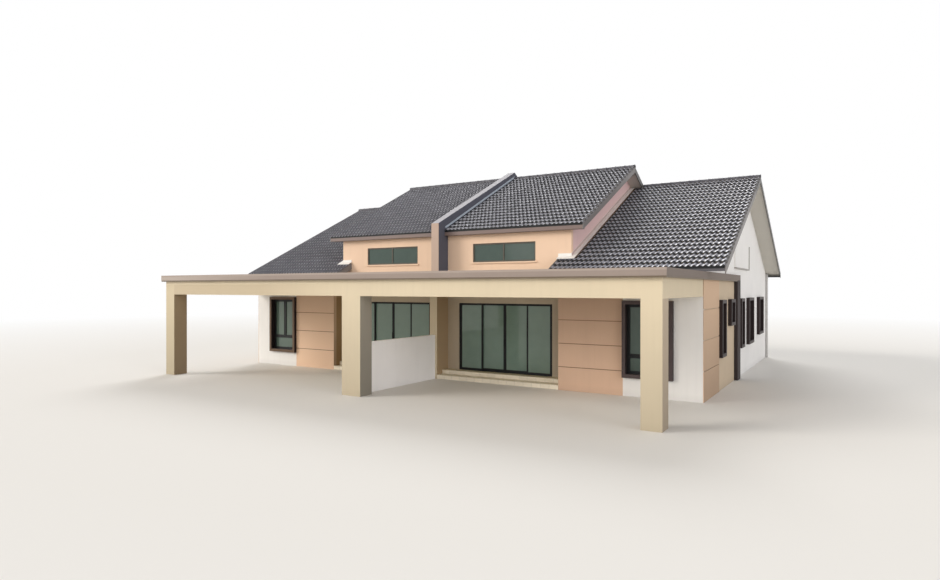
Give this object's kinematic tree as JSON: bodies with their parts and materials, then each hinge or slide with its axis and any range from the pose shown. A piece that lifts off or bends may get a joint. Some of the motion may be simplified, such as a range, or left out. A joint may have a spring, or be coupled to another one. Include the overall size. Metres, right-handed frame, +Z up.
{
  "type": "semi-detached bungalow",
  "caption": "Semi-detached bungalow with a flat carport roof on columns, raised clerestory centre roof, lower side gables, projecting window surrounds and sliding glass doors",
  "frame": {"origin": "centre of the bounding box on plan, at ground level", "axes": "X along the front, Y from the front to the rear, Z up"},
  "size_m": [19.47, 18.52, 8.1907],
  "materials": {
    "cream_render": "smooth painted render",
    "tan_render": "smooth painted render",
    "beige_render": "smooth painted render",
    "white_render": "smooth painted render",
    "peach_render": "smooth painted render",
    "coping_paint": "satin painted render",
    "floor_concrete": "matte screed",
    "porch_tile": "satin floor tile",
    "roof_tile": "satin concrete roof tile",
    "roof_timber": "sawn timber",
    "grey_board": "satin paint",
    "soffit_board": "matte paint",
    "flashing_metal": "painted sheet metal",
    "pipe_plastic": "matte plastic",
    "brown_aluminium": "satin powder coat",
    "dark_aluminium": "satin powder coat",
    "window_glass": "tinted clear glass"
  },
  "bodies": {
    "building": {"floor_slabs": "floor_concrete", "porch_steps": "porch_tile", "carport_columns": "cream_render", "carport_beams": "cream_render", "carport_slab": "cream_render", "coping": "coping_paint", "low_wall": "white_render", "party_wall": "cream_render", "front_panels": "tan_render", "front_walls": "white_render", "recess_walls": "tan_render", "door_side_walls": "tan_render", "door_head_walls": "tan_render", "side_panel_walls": "beige_render", "side_walls": "white_render", "side_bands": "brown_aluminium", "gable_panels": "white_render", "rear_walls": "white_render", "clerestory_walls": "peach_render", "clerestory_side_walls": "peach_render", "upper_roof_decks": "roof_timber", "lower_roof_decks": "roof_timber", "rear_roof_decks": "roof_timber", "upper_roof_tiles": "roof_tile", "lower_roof_tiles": "roof_tile", "rear_roof_tiles": "roof_tile", "ridge_caps": "roof_tile", "barge_boards": "grey_board", "eaves_boards": "grey_board", "verge_soffits": "soffit_board", "roof_flashings": "flashing_metal", "downpipes": "pipe_plastic", "window_surrounds": "brown_aluminium", "window_sashes": "dark_aluminium", "window_glass": "window_glass", "door_frames": "dark_aluminium", "fixed_door_glass": "window_glass"},
    "right_inner_door_leaf": {"right_inner_leaf": "dark_aluminium", "right_inner_glass": "window_glass"},
    "right_outer_door_leaf": {"right_outer_leaf": "dark_aluminium", "right_outer_glass": "window_glass"},
    "left_inner_door_leaf": {"left_inner_leaf": "dark_aluminium", "left_inner_glass": "window_glass"},
    "left_outer_door_leaf": {"left_outer_leaf": "dark_aluminium", "left_outer_glass": "window_glass"}
  },
  "joints": [
    {"name": "right_inner_slide", "type": "slide", "parent": "building", "child": "right_inner_door_leaf", "axis": [-1, 0, 0], "range_m": [0, 0.79]},
    {"name": "right_outer_slide", "type": "slide", "parent": "building", "child": "right_outer_door_leaf", "axis": [1, 0, 0], "range_m": [0, 0.79]},
    {"name": "left_inner_slide", "type": "slide", "parent": "building", "child": "left_inner_door_leaf", "axis": [1, 0, 0], "range_m": [0, 0.79]},
    {"name": "left_outer_slide", "type": "slide", "parent": "building", "child": "left_outer_door_leaf", "axis": [-1, 0, 0], "range_m": [0, 0.79]}
  ]
}
